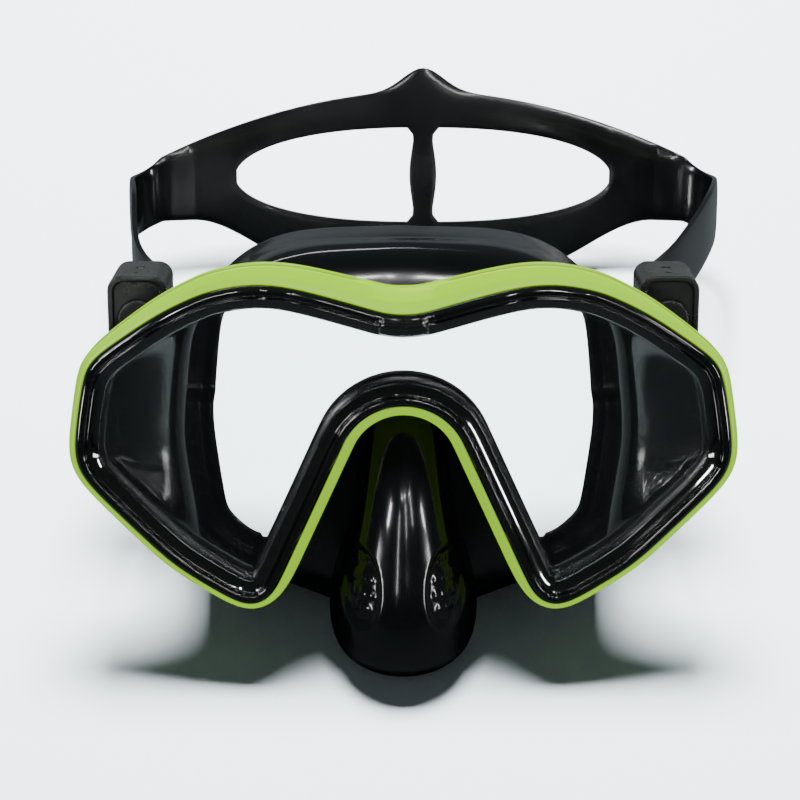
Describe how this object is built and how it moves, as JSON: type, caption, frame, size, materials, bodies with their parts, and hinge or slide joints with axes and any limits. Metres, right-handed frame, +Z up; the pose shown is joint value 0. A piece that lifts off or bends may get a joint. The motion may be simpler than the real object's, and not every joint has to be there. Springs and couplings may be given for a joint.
{
  "type": "diving mask",
  "caption": "Diving mask with one flat lens, a coloured brow trim, a silicone skirt with nose pocket, and a swinging split strap on release buckles.",
  "frame": {"origin": "on the table under the middle of the whole mask, as it lies on its nose pocket, cheek rims and strap", "axes": "+X to the right as seen from the lens side, +Y from the lens towards the strap, +Z up; the lens leans back by 27 degrees"},
  "size_m": [0.187, 0.2136, 0.1035],
  "materials": {
    "clear_glass": "clear, polished",
    "gloss_black": "high gloss",
    "lime_trim": "satin, fluorescent yellow-green",
    "black_silicone": "glossy moulded silicone",
    "buckle_black": "satin black",
    "grey_plastic": "plain moulded",
    "steel": "drawn"
  },
  "bodies": {
    "mask": {"lens": "clear_glass", "front_bezel": "gloss_black", "colour_trim": "lime_trim", "main_frame": "gloss_black", "skirt": "black_silicone", "left_buckle_ear": "buckle_black", "right_buckle_ear": "buckle_black", "left_swivel_pin": "steel", "right_swivel_pin": "steel"},
    "strap": {"strap": "black_silicone"},
    "left_buckle": {"left_buckle_housing": "buckle_black", "left_roller_pin": "steel", "left_pawl_pin": "steel", "left_pawl_spring": "steel"},
    "left_roller": {"left_strap_roller": "grey_plastic"},
    "left_pawl_lever": {"left_pawl": "grey_plastic"},
    "left_button": {"left_release_button": "buckle_black"},
    "right_buckle": {"right_buckle_housing": "buckle_black", "right_roller_pin": "steel", "right_pawl_pin": "steel", "right_pawl_spring": "steel"},
    "right_roller": {"right_strap_roller": "grey_plastic"},
    "right_pawl_lever": {"right_pawl": "grey_plastic"},
    "right_button": {"right_release_button": "buckle_black"}
  },
  "joints": [
    {"name": "strap_swing", "type": "hinge", "parent": "mask", "child": "strap", "pos_m": [-0.00609, -0.02512, 0.06598], "axis": [1, 0, 0], "range_deg": [-25, 95]},
    {"name": "left_buckle_swivel", "type": "hinge", "parent": "mask", "child": "left_buckle", "pos_m": [-0.06809, -0.02512, 0.06598], "axis": [1, 0, 0], "range_deg": [-25, 95]},
    {"name": "left_roller_turn", "type": "hinge", "parent": "left_buckle", "child": "left_roller", "pos_m": [-0.07859, -0.02138, 0.06407], "axis": [0, 0.454, 0.891], "continuous": true},
    {"name": "left_button_press", "type": "slide", "parent": "left_buckle", "child": "left_button", "axis": [0, 0.891, -0.454], "range_m": [0, 0.0008], "stiffness_N_per_m": 150, "springref_m": -0.0015},
    {"name": "left_pawl_turn", "type": "hinge", "parent": "left_buckle", "child": "left_pawl_lever", "pos_m": [-0.07859, -0.02753, 0.06721], "axis": [0, 0.454, 0.891], "range_deg": [-11.5, 0], "deforming": ["left_pawl_spring"]},
    {"name": "right_buckle_swivel", "type": "hinge", "parent": "mask", "child": "right_buckle", "pos_m": [0.05591, -0.02512, 0.06598], "axis": [1, 0, 0], "range_deg": [-25, 95]},
    {"name": "right_roller_turn", "type": "hinge", "parent": "right_buckle", "child": "right_roller", "pos_m": [0.06641, -0.02138, 0.06407], "axis": [0, 0.454, 0.891], "continuous": true},
    {"name": "right_button_press", "type": "slide", "parent": "right_buckle", "child": "right_button", "axis": [0, 0.891, -0.454], "range_m": [0, 0.0008], "stiffness_N_per_m": 150, "springref_m": -0.0015},
    {"name": "right_pawl_turn", "type": "hinge", "parent": "right_buckle", "child": "right_pawl_lever", "pos_m": [0.06641, -0.02753, 0.06721], "axis": [0, 0.454, 0.891], "range_deg": [0, 11.5], "deforming": ["right_pawl_spring"]}
  ],
  "couplings": [
    {"joint": "left_buckle_swivel", "follows": "strap_swing", "ratio": 1},
    {"joint": "left_pawl_turn", "follows": "left_button_press", "rad_per_m": -250},
    {"joint": "right_buckle_swivel", "follows": "strap_swing", "ratio": 1},
    {"joint": "right_pawl_turn", "follows": "right_button_press", "rad_per_m": 250}
  ]
}
